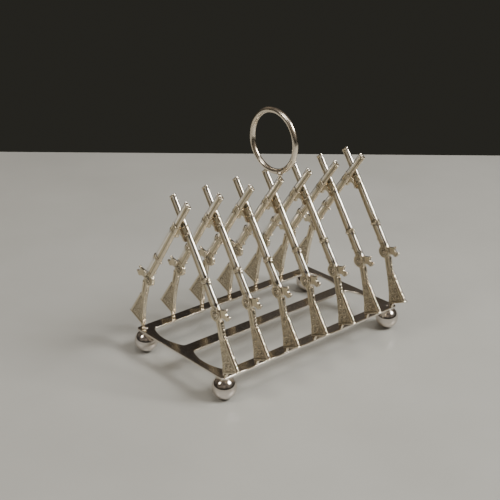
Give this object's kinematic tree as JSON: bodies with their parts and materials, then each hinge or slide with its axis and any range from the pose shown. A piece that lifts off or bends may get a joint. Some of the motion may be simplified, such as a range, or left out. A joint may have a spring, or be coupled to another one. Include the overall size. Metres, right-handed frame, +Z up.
{
  "type": "toast rack",
  "caption": "Toast rack of crossed miniature rifles standing in pairs on a pierced base frame with ball feet, with a ring handle over the middle pair.",
  "frame": {"origin": "centre of the bounding box at its base, on the table under the middle of the rack", "axes": "+X along the rack, +Y across it from the front rail to the rear rail, +Z up"},
  "size_m": [0.1562, 0.1066, 0.1542],
  "materials": {
    "polished_plate": "bright polished silver plate",
    "cast_plate": "satin cast silver plate with a warm tint, polished barrels and chased butts"
  },
  "bodies": {
    "root": {"base_frame": "polished_plate", "foot_front_left": "polished_plate", "foot_front_right": "polished_plate", "foot_rear_left": "polished_plate", "foot_rear_right": "polished_plate", "rifle_front_1": "cast_plate", "rifle_front_2": "cast_plate", "rifle_front_3": "cast_plate", "rifle_front_4": "cast_plate", "rifle_front_5": "cast_plate", "rifle_front_6": "cast_plate", "rifle_front_7": "cast_plate", "rifle_rear_1": "cast_plate", "rifle_rear_2": "cast_plate", "rifle_rear_3": "cast_plate", "rifle_rear_4": "cast_plate", "rifle_rear_5": "cast_plate", "rifle_rear_6": "cast_plate", "rifle_rear_7": "cast_plate", "tie_1": "cast_plate", "tie_2": "cast_plate", "tie_3": "cast_plate", "tie_4": "cast_plate", "tie_5": "cast_plate", "tie_6": "cast_plate", "tie_7": "cast_plate", "ring_handle": "polished_plate"}
  },
  "joints": []
}
